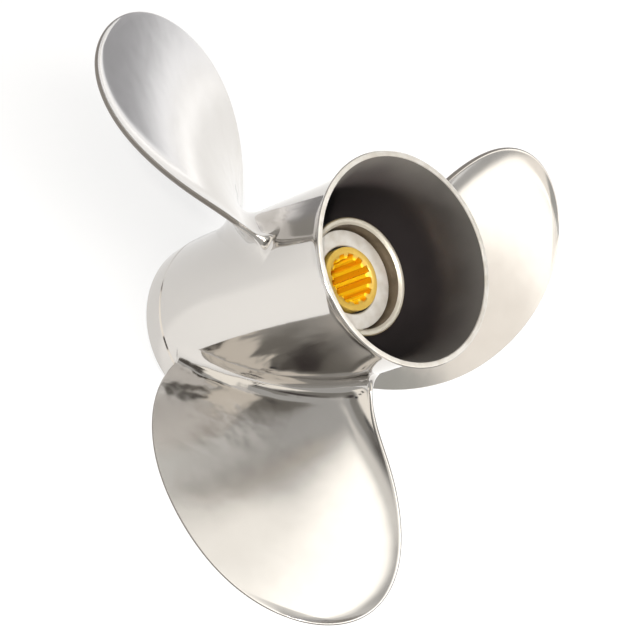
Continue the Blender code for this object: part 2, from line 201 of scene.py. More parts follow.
# Studio: the plain room, and cards laid over it one after the other. A card has the azimuth and
# elevation of its middle, half its width and height, the width of its soft edge, all in degrees,
# and its light
ROOM_COLOUR = (0.52, 0.515, 0.50)
STUDIO_CARDS = (
    ("back wall", (-168, 12), (34, 22), 16, (0.46, 0.465, 0.49)),
    ("left wall", (-118, 32), (26, 12), 20, (0.76, 0.75, 0.72)),
    ("roof", (0, 96), (400, 22), 12, (5.3, 5.25, 5.2)),
    ("key light", (0, 66), (26, 8), 8, (4.6, 4.5, 4.3)),
    ("left softbox", (-95, 68), (60, 14), 18, (1.85, 1.80, 1.70)),
    ("far left glow", (-118, 48), (12, 6), 12, (1.40, 1.36, 1.28)),
    ("table front", (-30, 10), (50, 8), 5, (1.28, 1.22, 1.12)),
    ("left dark strip", (-74, 5), (17, 4), 4, (0.10, 0.09, 0.08)),
    ("camera side", (-8, 30), (20, 9), 6, (0.25, 0.24, 0.22)),
    ("camera side core", (-19, 29), (8, 5), 7, (0.07, 0.06, 0.06)),
    ("left grey card", (-36, 25), (9, 6), 4, (0.30, 0.29, 0.27)),
    ("low dark rod", (-3, 8), (7, 1.6), 2, (0.02, 0.02, 0.03)),
    ("middle dark rod", (-14, 13.5), (4, 1.8), 2, (0.02, 0.02, 0.03)),
    ("upper dark rod", (-26, 19.5), (4, 2.2), 2, (0.02, 0.02, 0.03)),
    ("upper left glow", (-34, 45), (13, 6), 5, (0.95, 0.92, 0.87)),
    ("right softbox", (110, 46), (29, 22), 14, (1.22, 1.15, 1.06)),
    ("right softbox glow", (144, 42), (16, 18), 12, (1.95, 1.88, 1.76)),
    ("right grey card", (64, 54), (15, 14), 2, (0.50, 0.50, 0.47)),
    ("backdrop", (-172, 0), (34, 5), 13, (1.60, 1.62, 1.68)),
)

# Lamps: place, target, power in watts, tone, cone in degrees, softness of the cone's rim, size, and
# whether the polished metal mirrors it
LAMPS = (
    ("hub_spot", (0, -1.07, 1.2845), (0, 0, 0.0945), 400, (1, 0.97, 0.92), 2.4, 0.6, 0.05, True),
    ("far_table", (-0.33, 0.66, 1.2), (-0.33, 0.62, 0), 170, (0.97, 0.98, 1), 38, 0.8, 0.05, False),
    ("near_table", (-0.1, -1.0, 1.2), (0, -0.12, 0), 45, (1, 0.98, 0.94), 14, 1, 0.05, False),
    ("right_side", (1.26, 0.51, 0.63), (0, 0, 0), 140, (1, 0.98, 0.94), 30, 1, 0.11, False),
)

# Numbers of the sockets whose names repeat: on the mix nodes for colours and for vectors, and on
# the map range node for vectors
COLOUR_A, COLOUR_B, COLOUR_MIXED = 6, 7, 2
VECTOR_A, VECTOR_B, VECTOR_MIXED = 4, 5, 1
RANGE_START, RANGE_END, RANGE_RESULT = 7, 8, 1


class Field:
    """A value in a node tree, so that a formula can be written with plain arithmetic."""

    def __init__(self, tree, socket):
        self.tree = tree
        self.socket = socket

    def apply(self, operation, *others):
        node = self.tree.nodes.new("ShaderNodeMath")
        node.operation = operation
        for value, slot in zip((self, *others), node.inputs):
            feed(self.tree, value, slot)
        return Field(self.tree, node.outputs[0])

    def __add__(self, other):
        return self.apply("ADD", other)

    def __sub__(self, other):
        return self.apply("SUBTRACT", other)

    def __mul__(self, other):
        return self.apply("MULTIPLY", other)

    def __truediv__(self, other):
        return self.apply("DIVIDE", other)

    def __pow__(self, other):
        return self.apply("POWER", other)

    def __neg__(self):
        return self * -1

    def __rsub__(self, other):
        return -self + other

    __radd__ = __add__
    __rmul__ = __mul__

    def sin(self):
        return self.apply("SINE")

    def cos(self):
        return self.apply("COSINE")

    def root(self):
        return self.apply("SQRT")

    def at_least(self, low):
        return self.apply("MAXIMUM", low)

    def at_most(self, high):
        return self.apply("MINIMUM", high)

    def clamped(self):
        return self.at_least(0).at_most(1)

    def towards(self, other, share):
        """The value a share of the way from this one to another."""
        return self + (other - self) * share

    def ramp(self, start, end):
        """Runs from 0 at the start to 1 at the end, which may lie below the start."""
        return ((self - start) / (end - start)).clamped()

    def swing(self, reach):
        """A pattern from 0 to 1 as a change to both sides of nought."""
        return (self - 0.5) * reach

    def sharpened(self, contrast):
        """A pattern from 0 to 1 with more contrast."""
        return (self.swing(contrast) + 0.5).clamped()


def feed(tree, value, slot):
    """Sets a node's input to a number, or links it to a value or a socket."""
    if isinstance(value, Field):
        tree.links.new(value.socket, slot)
    elif isinstance(value, bpy.types.NodeSocket):
        tree.links.new(value, slot)
    else:
        slot.default_value = value


def add_node(tree, kind, inputs=None, **settings):
    node = tree.nodes.new(kind)
    for name, value in settings.items():
        setattr(node, name, value)
    for name, value in (inputs or {}).items():
        feed(tree, value, node.inputs[name])
    return node


def split(tree, vector):
    """The three parts of a vector as values."""
    node = add_node(tree, "ShaderNodeSeparateXYZ", {"Vector": vector})
    return [Field(tree, output) for output in node.outputs]


def combine(tree, x, y, z):
    return add_node(tree, "ShaderNodeCombineXYZ", {"X": x, "Y": y, "Z": z}).outputs[0]


def geometry_tree(name, sizes):
    """A tree with a named input for each size, the sizes as values, and the host's geometry."""
    tree = bpy.data.node_groups.new(name, "GeometryNodeTree")
    tree.interface.new_socket("Geometry", in_out="INPUT", socket_type="NodeSocketGeometry")
    tree.interface.new_socket("Geometry", in_out="OUTPUT", socket_type="NodeSocketGeometry")
    for label in sizes:
        tree.interface.new_socket(label, in_out="INPUT", socket_type="NodeSocketFloat")
    inlet = tree.nodes.new("NodeGroupInput")
    values = {label: Field(tree, inlet.outputs[label]) for label in sizes}
    return tree, values, inlet.outputs["Geometry"]


def end_tree(tree, geometry, material):
    """Ends a tree in realized, smooth faces of one material."""
    realized = add_node(tree, "GeometryNodeRealizeInstances", {"Geometry": geometry})
    smooth = add_node(tree, "GeometryNodeSetShadeSmooth", {"Geometry": realized.outputs[0]})
    dressed = add_node(tree, "GeometryNodeSetMaterial", {
        "Geometry": smooth.outputs[0], "Material": material,
    })
    outlet = tree.nodes.new("NodeGroupOutput")
    tree.links.new(dressed.outputs[0], outlet.inputs[0])


def grow(name, host, tree, sizes):
    """Runs a tree on a host object, and keeps the plain mesh that it makes."""
    modifier = host.modifiers.new(name, "NODES")
    modifier.node_group = tree
    for item in tree.interface.items_tree:
        if item.in_out == "INPUT" and item.name in sizes:
            modifier[item.identifier] = float(sizes[item.name])
    bpy.context.view_layer.update()
    graph = bpy.context.evaluated_depsgraph_get()
    mesh = bpy.data.meshes.new_from_object(host.evaluated_get(graph))
    host.modifiers.remove(modifier)
    bpy.data.objects.remove(host)
    return new_piece(name, mesh)


def new_piece(name, mesh):
    mesh.name = name
    return new_object(name, mesh)


def new_object(name, data):
    thing = bpy.data.objects.new(name, data)
    bpy.context.scene.collection.objects.link(thing)
    return thing


def place_piece(piece, slot, *nodes):
    """Rides on the one body and stands for the solids named. The slot is not used."""
    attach(piece, "root")
    if nodes:
        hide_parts(*nodes)


def outline_host():
    """The blade's outline, a clamped cubic curve from the leading root over the tip to the trailing
    root."""
    curve = bpy.data.curves.new("blade_outline", "CURVE")
    curve.dimensions = "3D"
    spline = curve.splines.new("NURBS")
    spline.points.add(len(OUTLINE_MM) - 1)
    for point, (along, radius) in zip(spline.points, OUTLINE_MM):
        point.co = (along * MM, radius * MM, 0, 1)
    spline.order_u = 4
    spline.use_endpoint_u = True
    spline.resolution_u = OUTLINE_RESOLUTION
    return new_object("blade_outline", curve)


def sample_outline(tree, outline, share):
    """Place and slope of the outline at a share of its length, along the helix and outwards."""
    node = add_node(tree, "GeometryNodeSampleCurve", mode="FACTOR")
    tree.links.new(outline, node.inputs["Curves"])
    feed(tree, share, node.inputs["Factor"])
    along, radius, _ = split(tree, node.outputs["Position"])
    along_slope, radius_slope, _ = split(tree, node.outputs["Tangent"])
    return along, radius, along_slope, radius_slope


def screw(size, along, radius, lift):
    """Turn and height of a point at a distance along the helix, a radius and a lift off the aft
    face."""
    barrel_radius = size["Barrel Radius"]
    outward = (radius - barrel_radius) / (size["Tip Radius"] - barrel_radius)
    lead = size["Root Pitch"].towards(size["Tip Pitch"], outward) / CIRCLE
    reach = (lead * lead + radius * radius).root()
    rise = lead / reach
    run = radius / reach
    turn = (along * run - lift * rise) / radius
    height = size["Blade Height"] + along * rise + lift * run
    return turn, height + size["Rake"] * (radius - barrel_radius)


def repeat_round(tree, geometry, count, first_angle):
    """Copies of a geometry, turned evenly about the shaft axis."""
    points = add_node(tree, "GeometryNodePoints", {"Count": count})
    index = Field(tree, add_node(tree, "GeometryNodeInputIndex").outputs[0])
    turn = index * (CIRCLE / count) + first_angle
    euler = combine(tree, 0, 0, turn)
    rotation = add_node(tree, "FunctionNodeEulerToRotation", {"Euler": euler})
    copies = add_node(tree, "GeometryNodeInstanceOnPoints", {
        "Points": points.outputs[0], "Instance": geometry, "Rotation": rotation.outputs[0],
    })
    return copies.outputs[0]


def blades_tree(material):
    """Each blade is one sheet that runs over the aft side, round the trailing edge, back over the
    front side and round the leading edge. Its rows start under the barrel's skin and end at the
    tip."""
    tree, size, outline = geometry_tree("screw_blades", BLADE_SIZES)
    columns = 2 * (ACROSS + ROUND)
    rows = 1 + FILLET_ROWS + BLADE_ROWS
    grid = add_node(tree, "GeometryNodeMeshGrid", {
        "Vertices X": columns + 1, "Vertices Y": rows + 1,
    })
    x, y, _ = split(tree, add_node(tree, "GeometryNodeInputPosition").outputs[0])
    column = (x + 0.5) * columns
    row = (y + 0.5) * rows

    # Where a point is: its share of the chord, how far it is over the trailing edge or back over
    # the leading edge, its side (1 aft, -1 front), and its share of the fillet and of the blade
    back_column = ACROSS + ROUND
    even = column.ramp(0, ACROSS) - column.ramp(back_column, back_column + ACROSS)
    share = even.towards(0.5 - (even * math.pi).cos() * 0.5, CROWDING)
    over = column.ramp(ACROSS, back_column) - column.ramp(back_column + ACROSS, columns)
    closing = row.clamped()
    side = (over * math.pi).cos() * closing
    outside = (over * math.pi).sin().at_least(0) ** EDGE_ROUNDING * closing
    rise = row.ramp(1, 1 + FILLET_ROWS)
    place = row.ramp(1 + FILLET_ROWS, rows)

    # The chord between the two edges' middles, and the point's place on it or round its end
    lead_along, lead_radius, lead_run, lead_climb = sample_outline(
        tree, outline, place * TIP_SHARE
    )
    trail_along, trail_radius, trail_run, trail_climb = sample_outline(
        tree, outline, 1 - place * (1 - TIP_SHARE)
    )
    lead_half = size["Lead Edge"].towards(size["Tip Edge"], place) / 2
    trail_half = size["Trail Edge"].towards(size["Tip Edge"], place ** LATE_THINNING) / 2
    half = lead_half.towards(trail_half, share)
    start_along = lead_along + lead_climb * lead_half
    start_radius = lead_radius - lead_run * lead_half
    end_along = trail_along + trail_climb * trail_half
    end_radius = trail_radius - trail_run * trail_half
    chord = ((end_along - start_along) ** 2 + (end_radius - start_radius) ** 2).root()
    bulging = half * outside
    along = start_along.towards(end_along, share) - lead_climb.towards(trail_climb, share) * bulging
    radius = start_radius.towards(end_radius, share) + lead_run.towards(trail_run, share) * bulging

    # Thickness, cup and crown
    outward = radius.ramp(size["Barrel Radius"], size["Tip Radius"])
    full = size["Root Thickness"].towards(size["Tip Thickness"], outward ** size["Thinning"])
    full = full.at_most(half * 2 + chord * size["Thickest Share"])
    bulge = (share * math.pi).sin().at_least(0) ** size["Fullness"]
    thickness = half * 2 + (full - half * 2).at_least(0) * bulge
    height = size["Cup Height"] * (chord / size["Cup Fade Chord"]).at_most(1)
    curl = (1 - chord * (1 - share) / size["Cup Width"]).at_least(0) ** 2
    crown = size["Crown"] * chord * share * (1 - share) * 4
    lift = height * (curl - share) + crown - thickness * (1 - side) / 2

    # The fillet is a curve from its foot on the barrel, bent by the corner, to the blade's root
    skin = size["Barrel Radius"] - size["Sink"] - size["Keel Depth"] * (1 - closing)
    lean = (lead_run / lead_climb).towards(trail_run / trail_climb, share)
    spread = (-size["Lead Spread"]).towards(size["Trail Spread"], share) * outside
    foot_turn, foot_height = screw(size, along + spread, skin, lift + size["Side Spread"] * side)
    corner_turn, corner_height = screw(size, along + lean * (skin - radius), skin, lift)
    top_turn, top_height = screw(size, along, radius, lift)
    foot_weight = (1 - rise) ** 2
    corner_weight = 2 * rise * (1 - rise)
    top_weight = rise * rise
    turn = foot_turn * foot_weight + corner_turn * corner_weight + top_turn * top_weight
    level = foot_height * foot_weight + corner_height * corner_weight + top_height * top_weight
    out = skin * (1 - top_weight) + radius * top_weight

    # The edges' mark of painted shade and roughness is read from the flat grid, so it's stored
    # before the points move
    marked = add_node(tree, "GeometryNodeStoreNamedAttribute", {
        "Geometry": grid.outputs["Mesh"], "Name": "rough_edge_painted_shade",
        "Value": outside * place.ramp(0, EDGE_SHADE_FADE),
    })
    moved = add_node(tree, "GeometryNodeSetPosition", {
        "Geometry": marked.outputs[0],
        "Position": combine(tree, out * turn.cos(), out * turn.sin(), level),
    })
    outwards = add_node(tree, "GeometryNodeFlipFaces", {"Mesh": moved.outputs[0]})
    welded = add_node(tree, "GeometryNodeMergeByDistance", {
        "Geometry": outwards.outputs[0], "Distance": WELD,
    })
    end_tree(tree, repeat_round(tree, welded.outputs[0], BLADES, size["First Angle"]), material)
    return tree


def blades(material):
    piece = grow("blades", outline_host(), blades_tree(material), BLADE_SIZES)
    place_piece(piece, "polished_stainless", "blade_1", "blade_2", "blade_3")


def softened(corners, points=4):
    """A closed profile with its corners rounded. A corner is (radius, height, how far the rounding
    reaches)."""
    shape = []
    count = len(corners)
    for index, (radius, height, reach) in enumerate(corners):
        here = Vector((radius, height))
        if not reach:
            shape.append(here)
            continue
        before = Vector(corners[index - 1][:2])
        after = Vector(corners[(index + 1) % count][:2])
        start = here + (before - here).normalized() * min(reach, (before - here).length / 2)
        end = here + (after - here).normalized() * min(reach, (after - here).length / 2)
        for step in range(points + 1):
            share = step / points
            bend = here * 2 * share * (1 - share)
            shape.append(start * (1 - share) ** 2 + bend + end * share ** 2)
    return shape


def flare(start, end, points=14):
    """Unrounded corners of a profile that leaves a tube's straight wall in a smooth bell."""
    shape = []
    for index in range(points):
        share = index / (points - 1)
        radius = start[0] + (end[0] - start[0]) * share ** 2
        shape.append((radius, start[1] + (end[1] - start[1]) * share, 0))
    return shape


def finished_mesh(name, bm, material, sharp):
    """A mesh of one material, smooth but for the edges that bend more than an angle."""
    mesh = bpy.data.meshes.new(name)
    bm.to_mesh(mesh)
    bm.free()
    mesh.materials.append(material)
    mesh.shade_smooth()
    mesh.set_sharp_from_angle(angle=sharp)
    return mesh


def turned(name, corners, material, steps=HUB_STEPS):
    """A ring turned about the shaft axis from a closed profile, its outer side running down."""
    profile = softened(corners)
    bm = bmesh.new()
    rings = []
    for step in range(steps):
        turn = Matrix.Rotation(CIRCLE * step / steps, 3, "Z")
        rings.append([bm.verts.new(turn @ Vector((point.x, 0, point.y))) for point in profile])
    for step in range(steps):
        ring = rings[step]
        following = rings[(step + 1) % steps]
        for index in range(len(profile)):
            below = (index + 1) % len(profile)
            bm.faces.new((ring[index], ring[below], following[below], following[index]))
    return new_piece(name, finished_mesh(name, bm, material, HUB_SHARP))


def repaint(piece, material, test):
    """Gives another finish to the faces whose centre passes a test of radius and height."""
    piece.data.materials.append(material)
    slot = len(piece.data.materials) - 1
    for face in piece.data.polygons:
        centre = face.center
        if test(math.hypot(centre.x, centre.y), centre.z):
            face.material_index = slot


def bore_bell(length):
    """The profile of the exhaust passage's flare, up to the aft rim."""
    start = (BARREL_BORE_RADIUS, length - BORE_FLARE_LENGTH)
    return flare(start, (RIM_BORE_RADIUS, length - RIM_EDGE))


def barrel(polished, machined):
    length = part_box("barrel")[1].z
    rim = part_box("barrel")[1].x
    tube = BLADE_SIZES["Barrel Radius"]
    outer_bell = flare((tube, length - FLARE_LENGTH), (rim, length - RIM_EDGE))
    corners = [
        (rim - RIM_EDGE, length, 0.15 * MM),
        *reversed(outer_bell),
        (tube, GROOVE_TOP, 0.15 * MM),
        (tube - GROOVE_DEPTH, GROOVE_FLOOR, 0.15 * MM),
        (tube - FOOT_DEPTH, GROOVE_FOOT, 0.25 * MM),
        (COLLAR_RADIUS, RIM_EDGE, 0.2 * MM),
        (COLLAR_RADIUS - RIM_EDGE, 0, 0.1 * MM),
        (BARREL_BORE_RADIUS + RIM_EDGE, 0, 0.1 * MM),
        (BARREL_BORE_RADIUS, RIM_EDGE, 0.1 * MM),
        *bore_bell(length),
        (RIM_BORE_RADIUS + RIM_BORE_CHAMFER, length, 0.1 * MM),
    ]
    piece = turned("hub_barrel", corners, polished)
    repaint(piece, machined, lambda radius, height: height > length - RIM_MACHINED)
    place_piece(piece, "polished_stainless", "barrel")


def bore_coat(paint):
    """The black paint that lines the exhaust passage, from near the front to the aft rim."""
    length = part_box("barrel")[1].z
    wall = [(BARREL_BORE_RADIUS, 2 * RIM_EDGE, 0), *bore_bell(length)]
    corners = [
        *[(radius - COAT_BACK, height, 0) for radius, height, _ in reversed(wall)],
        *[(radius - COAT, height, 0) for radius, height, _ in wall],
    ]
    piece = turned("bore_coat", corners, paint)
    place_piece(piece, "black_paint")


def inner_hub(ring_steel, paint, recess_shade):
    bore = SHELL_RADIUS + GAP
    front_step = INNER_HUB_FRONT + FRONT_RECESS_DEPTH
    aft_step = INNER_HUB_AFT - AFT_RECESS_DEPTH
    recess_top = INNER_HUB_AFT - INNER_HUB_CHAMFER
    corners = [
        (INNER_HUB_RADIUS, INNER_HUB_AFT, INNER_HUB_CHAMFER),
        (INNER_HUB_RADIUS, INNER_HUB_FRONT, 0.5 * MM),
        (FRONT_RECESS_RADIUS, INNER_HUB_FRONT, 0.2 * MM),
        (FRONT_RECESS_RADIUS, front_step, 0),
        (bore, front_step, 0),
        (bore, aft_step, 0),
        (AFT_RECESS_RADIUS, aft_step, 0),
        (AFT_RECESS_RADIUS, recess_top, 0.2 * MM),
        (AFT_RECESS_RADIUS + INNER_HUB_CHAMFER, INNER_HUB_AFT, 0.3 * MM),
    ]
    piece = turned("inner_hub_ring", corners, ring_steel)
    repaint(piece, paint, lambda radius, height: radius > INNER_HUB_RADIUS - NEAR)
    wall = AFT_RECESS_RADIUS + NEAR
    # The recess wall takes the brown casting, darkened partly as painted shade
    repaint(piece, recess_shade, lambda radius, height: radius < wall and height < recess_top)
    place_piece(piece, "machined_steel", "inner_hub")


def bushing_shell(machined, rubber):
    chamfer_foot = SHELL_AFT - SHELL_CHAMFER
    corners = [
        (SHELL_RADIUS, SHELL_AFT, 0.3 * MM),
        (SHELL_RADIUS, SHELL_FRONT, 0.2 * MM),
        (SHELL_RADIUS - SHELL_WALL, SHELL_FRONT, 0.2 * MM),
        (SHELL_RADIUS - SHELL_WALL, SHELL_AFT - SHELL_END, 0),
        (SHELL_HOLE_RADIUS, SHELL_AFT - SHELL_END, 0.2 * MM),
        (SHELL_HOLE_RADIUS, chamfer_foot, 0.15 * MM),
        (SHELL_HOLE_RADIUS + SHELL_CHAMFER, SHELL_AFT, 0.15 * MM),
    ]
    piece = turned("bushing_face", corners, machined)
    wall = SHELL_HOLE_RADIUS + NEAR
    repaint(piece, rubber, lambda radius, height: radius < wall and height < chamfer_foot)
    place_piece(piece, "machined_steel", "bushing_shell")


def bushing_rubber(rubber):
    outer = SHELL_RADIUS - SHELL_WALL - GAP
    inner = SLEEVE_RADIUS + GAP
    top = SHELL_AFT - SHELL_END - GAP
    corners = [
        (outer, top, 0.5 * MM),
        (outer, RUBBER_FRONT, 1 * MM),
        (inner, RUBBER_FRONT, 1 * MM),
        (inner, top, 0.5 * MM),
    ]
    piece = turned("bushing_rubber", corners, rubber, steps=HUB_STEPS // 2)
    place_piece(piece, "black_rubber", "rubber_bushing")


def broach_tree(material):
    """Pushes a blank's bore out to a wave of flat-topped teeth that point inwards."""
    tree, size, blank = geometry_tree("broached_spline", SPLINE_SIZES)
    x, y, z = split(tree, add_node(tree, "GeometryNodeInputPosition").outputs[0])
    radius = (x * x + y * y).root()
    turn = y.apply("ARCTAN2", x)
    tooth = (turn - size["First Tooth"]) * size["Teeth"] / CIRCLE + size["Teeth"] + 0.5
    off_middle = (tooth.apply("FRACT") - 0.5).apply("ABSOLUTE") * 2
    flank = off_middle.ramp(size["Tip Share"], size["Root Share"])
    out = radius.at_least(size["Tip Radius"].towards(size["Root Radius"], flank))
    moved = add_node(tree, "GeometryNodeSetPosition", {
        "Geometry": blank, "Position": combine(tree, out * turn.cos(), out * turn.sin(), z),
    })
    end_tree(tree, moved.outputs[0], material)
    return tree


def brass_sleeve(brass):
    tip = SPLINE_SIZES["Tip Radius"]
    mouth = [
        (MOUTH_RADIUS + (tip - MOUTH_RADIUS) * row / MOUTH_ROWS, MOUTH_DEPTH * row / MOUTH_ROWS)
        for row in range(MOUTH_ROWS + 1)
    ]
    corners = [
        (SLEEVE_RADIUS, SLEEVE_AFT, 0.35 * MM),
        (SLEEVE_RADIUS, SLEEVE_FRONT, 0.35 * MM),
        *[(radius, SLEEVE_FRONT + depth, 0) for radius, depth in mouth],
        *[(radius, SLEEVE_AFT - depth, 0) for radius, depth in reversed(mouth)],
    ]
    steps = SPLINE_SIZES["Teeth"] * STEPS_PER_TOOTH
    blank = turned("sleeve_blank", corners, brass, steps=steps)
    piece = grow("brass_sleeve", blank, broach_tree(brass), SPLINE_SIZES)
    piece.data.set_sharp_from_angle(angle=TOOTH_SHARP)
    place_piece(piece, "brass", "splined_sleeve")


def rib_outline():
    """A web on +X seen from aft, whose ends widen in a fillet to both walls, anticlockwise."""
    inner = INNER_HUB_RADIUS - RIB_INNER_SINK
    outer = BARREL_BORE_RADIUS + RIB_OUTER_SINK
    half = RIB_THICKNESS / 2
    fillet = []
    for step in range(RIB_FILLET_STEPS + 1):
        angle = math.pi / 2 * step / RIB_FILLET_STEPS
        depth = RIB_FILLET * (1 - math.sin(angle))
        fillet.append((depth, half + RIB_FILLET * (1 - math.cos(angle))))
    near = [(inner + depth, wide) for depth, wide in fillet]
    far = [(outer - depth, wide) for depth, wide in fillet]
    upper = sorted(near) + sorted(far)
    return [(x, -y) for x, y in upper] + [(x, y) for x, y in reversed(upper)]


def ribs(paint):
    bm = bmesh.new()
    outline = rib_outline()
    count = len(outline)
    for number in range(BLADES):
        turn = Matrix.Rotation(FIRST_BLADE_ANGLE + CIRCLE * number / BLADES, 3, "Z")
        low = [bm.verts.new(turn @ Vector((x, y, RIB_FRONT))) for x, y in outline]
        high = [bm.verts.new(turn @ Vector((x, y, RIB_AFT))) for x, y in outline]
        bm.faces.new(low[::-1])
        bm.faces.new(high)
        for here in range(count):
            there = (here + 1) % count
            bm.faces.new((low[here], low[there], high[there], high[here]))
    piece = new_piece("hub_ribs", finished_mesh("hub_ribs", bm, paint, RIB_SHARP))
    place_piece(piece, "black_paint", "rib_1", "rib_2", "rib_3")


def new_material(name, tone, metallic, roughness):
    """A finish. Its plain tone and roughness show where the nodes that vary them aren't read."""
    material = bpy.data.materials.new(name)
    material.use_nodes = True
    shader = material.node_tree.nodes["Principled BSDF"]
    shader.inputs["Base Color"].default_value = (*tone, 1)
    shader.inputs["Metallic"].default_value = metallic
    shader.inputs["Roughness"].default_value = roughness
    return material, material.node_tree, shader


def place_in(tree):
    """Where a point of the surface is: its distance from the shaft axis and its height, in mm."""
    x, y, z = split(tree, add_node(tree, "ShaderNodeTexCoord").outputs["Object"])
    return (x * x + y * y).root() / MM, z / MM


def turned_rings(radius, height, pitch):
    """Fine rings about the shaft axis, from 0 to 1, on level and upright faces. The pitch is in
    mm."""
    return ((radius + height) * (CIRCLE / pitch)).sin() * 0.5 + 0.5


def mottle(tree, size, stretch=(1, 1, 1), detail=2, seed=0):
    """A soft random pattern from 0 to 1 with spots of about so many mm, times the stretch."""
    where = add_node(tree, "ShaderNodeMapping", {
        "Vector": add_node(tree, "ShaderNodeTexCoord").outputs["Object"],
        "Location": (seed, seed, seed),
        "Scale": tuple(1 / (size * MM * part) for part in stretch),
    })
    noise = add_node(tree, "ShaderNodeTexNoise", {
        "Vector": where.outputs[0], "Scale": 1, "Detail": detail,
    })
    return Field(tree, noise.outputs[0])


def tint(tree, shader, pattern, dark, light):
    """Runs the base colour from one tone to another over a pattern."""
    mix = add_node(tree, "ShaderNodeMix", data_type="RGBA")
    feed(tree, pattern, mix.inputs["Factor"])
    for slot, tone in ((COLOUR_A, dark), (COLOUR_B, light)):
        feed(tree, (*tone, 1) if isinstance(tone, tuple) else tone, mix.inputs[slot])
    tree.links.new(mix.outputs[COLOUR_MIXED], shader.inputs["Base Color"])
    return mix.outputs[COLOUR_MIXED]


def roughen(tree, shader, change):
    """Varies the plain roughness by a change."""
    slot = shader.inputs["Roughness"]
    feed(tree, change + slot.default_value, slot)


def emboss(tree, shader, *layers):
    """Bumps a surface with patterns, each with its height in mm."""
    normal = None
    for pattern, height in layers:
        bump = add_node(tree, "ShaderNodeBump", {"Height": pattern, "Distance": height * MM})
        if normal:
            tree.links.new(normal, bump.inputs["Normal"])
        normal = bump.outputs[0]
    tree.links.new(normal, shader.inputs["Normal"])


def polished_stainless():
    """Glossiest on the hub, softer out on the blades and duller on their edges, with the waves
    and the buffing marks of hand work. The hub is tinted darker as painted shade, and the edges
    are tinted nearly black as a painted shade outline. The ramps run over radii and heights in mm."""
    material, tree, shader = new_material("polished_stainless", STEEL_TONE, 1, 0.085)
    radius, height = place_in(tree)
    outwards = radius.ramp(48, 88)
    mark = add_node(tree, "ShaderNodeAttribute", attribute_name="rough_edge_painted_shade")
    edge_shade = Field(tree, mark.outputs["Fac"]).ramp(0.4, 0.6)
    by_hand = radius.ramp(42, 46) * radius.ramp(86, 62) * height.ramp(66, 50)
    waves = mottle(tree, 12, detail=1.5) * by_hand.towards(1, 0.12)
    marks = mottle(tree, 0.5, stretch=(30, 30, 1), detail=3)
    cloud = mottle(tree, 9, seed=3)
    # Painted shade: the hub takes the darker steel all over, and the blades mottle at random
    # towards the plain tone
    mottle_and_hub_shade = cloud.sharpened(2).towards(1, 0.5) * outwards
    face = tint(tree, shader, mottle_and_hub_shade, STEEL_MOTTLE_AND_HUB_PAINTED_SHADE, STEEL_TONE)
    # Painted shade: the edge rounds are tinted nearly black, a dark outline round each blade
    tint(tree, shader, edge_shade, face, STEEL_EDGE_PAINTED_SHADE)
    grain = marks.swing(0.05) + cloud.swing(0.05)
    roughen(tree, shader, outwards * 0.105 + edge_shade * 0.35 + grain)
    emboss(tree, shader, (waves, 0.62), (marks, 0.0012))
    return material


def machined_steel():
    """Turned faces: fine rings about the shaft axis, and a satin, slightly stained surface."""
    material, tree, shader = new_material("machined_steel", TURNED_LIGHT, 0.7, 0.38)
    radius, height = place_in(tree)
    stain = mottle(tree, 4, detail=3, seed=5)
    tint(tree, shader, stain.sharpened(2.2), TURNED_DARK, TURNED_LIGHT)
    roughen(tree, shader, stain.swing(0.2))
    emboss(tree, shader, (turned_rings(radius, height, 0.42), 0.003), (stain, 0.02))
    return material


def hub_ring_steel():
    """The inner hub's end: a pale turned chamfer, and a brown oxide line round its outer edge."""
    material, tree, shader = new_material("hub_ring_steel", RING_LIGHT, 0.55, 0.44)
    radius, height = place_in(tree)
    stain = mottle(tree, 3, detail=3, seed=7)
    edge = (radius + stain.swing(0.42)).ramp(24.6, 24.95)
    pale = tint(tree, shader, stain.sharpened(1.6), RING_DARK, RING_LIGHT)
    tint(tree, shader, edge, pale, RING_OXIDE)
    roughen(tree, shader, edge * 0.1 + stain.swing(0.12))
    emboss(tree, shader, (turned_rings(radius, height, 0.35), 0.003), (stain, 0.01))
    return material


def yellow_brass():
    """Old gold on the turned end and the tooth ends. The bore is painted brighter and more orange
    as painted light, with painted highlights on the tooth tips and painted shade in the valleys.
    """
    material, tree, shader = new_material("yellow_brass", BRASS_LIGHT, 0.35, 0.3)
    radius, height = place_in(tree)
    depth = SLEEVE_AFT / MM - height
    inside = radius.ramp(11.4, 10.9) * depth.ramp(0.5, 1)
    # Painted shade in the valleys between the teeth, and painted light on their tips
    valley_shade = radius.ramp(9.3, 10.5)
    stain = mottle(tree, 2.5, detail=2, seed=9)
    broach = mottle(tree, 0.7, stretch=(1, 1, 60), detail=1, seed=11)
    face = tint(tree, shader, stain.sharpened(1.2), BRASS_DARK, BRASS_LIGHT)
    bore = tint(tree, shader, valley_shade, TOOTH_PAINTED_LIGHT, VALLEY_PAINTED_SHADE)
    tint(tree, shader, inside, face, bore)
    roughen(tree, shader, stain.swing(0.1) + broach.swing(0.1) * inside)
    emboss(tree, shader, (stain, 0.004))
    return material


def black_paint():
    """Satin black with a faint orange peel, tinted greyer towards the aft rim as a painted sheen.
    """
    material, tree, shader = new_material("black_paint", PAINT_LIGHT, 0, 0.42)
    _, height = place_in(tree)
    peel = mottle(tree, 1.6, detail=2, seed=13)
    wear_and_sheen = mottle(tree, 14, detail=4, seed=15)
    # Painted sheen: the paint turns greyer towards the aft rim, its border made ragged by the
    # mottle
    rim_sheen = (height + wear_and_sheen.swing(8)).ramp(108, 134) ** 1.6
    coat = tint(tree, shader, wear_and_sheen.sharpened(1.5), PAINT_DARK, PAINT_LIGHT)
    tint(tree, shader, rim_sheen, coat, PAINT_PAINTED_SHEEN)
    roughen(tree, shader, wear_and_sheen.swing(0.15))
    emboss(tree, shader, (peel, 0.03))
    return material


